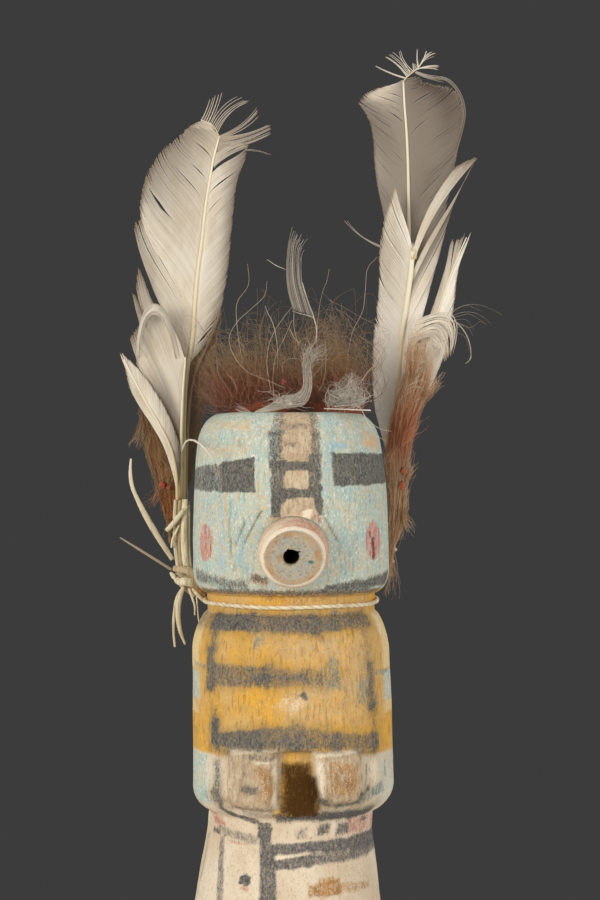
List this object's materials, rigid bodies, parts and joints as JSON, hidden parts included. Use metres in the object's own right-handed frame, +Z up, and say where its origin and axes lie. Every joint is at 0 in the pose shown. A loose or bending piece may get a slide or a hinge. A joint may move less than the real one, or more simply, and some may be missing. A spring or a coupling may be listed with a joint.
{
  "type": "kachina doll",
  "caption": "Carved and painted wooden kachina doll with a round snout, feather bundles beside the mask and fur on its crown.",
  "frame": {"origin": "on the flat of the soles, under the middle of the carved figure", "axes": "+Z up the figure, -Y the way its face looks, +X to the right of someone who faces it"},
  "size_m": [0.1091, 0.0666, 0.3197],
  "materials": {
    "painted_wood": "cottonwood under matt mineral paint, worn",
    "snout_wood": "end grain under thin matt paint, rubbed",
    "cotton_string": "twisted cotton, matt",
    "white_feather": "feather vane, soft satin",
    "shaded_feather": "feather vane, soft satin, dusty brown",
    "dark_fur": "loose animal fur, fine hairs",
    "light_fur": "loose animal fur, fine hairs",
    "down": "fine down, matt",
    "quill_strip": "split quill, dry, satin",
    "binding_cord": "wound cord, dry, matt"
  },
  "bodies": {
    "root": {"figure": "painted_wood", "snout": "snout_wood", "neck_string": "cotton_string", "left_feather_back": "shaded_feather", "left_feather_tall": "white_feather", "left_feather_short": "white_feather", "left_feather_lower": "white_feather", "right_feather_tall": "white_feather", "right_feather_front": "white_feather", "right_feather_side": "white_feather", "left_fur_tuft": "dark_fur", "right_fur_tuft": "light_fur", "crown_fur": "dark_fur", "down_plume_standing": "down", "down_plume_centre": "down", "down_plume_right": "down", "left_binding": "binding_cord", "right_binding": "binding_cord", "long_strip": "quill_strip", "short_strip": "quill_strip"}
  },
  "joints": []
}
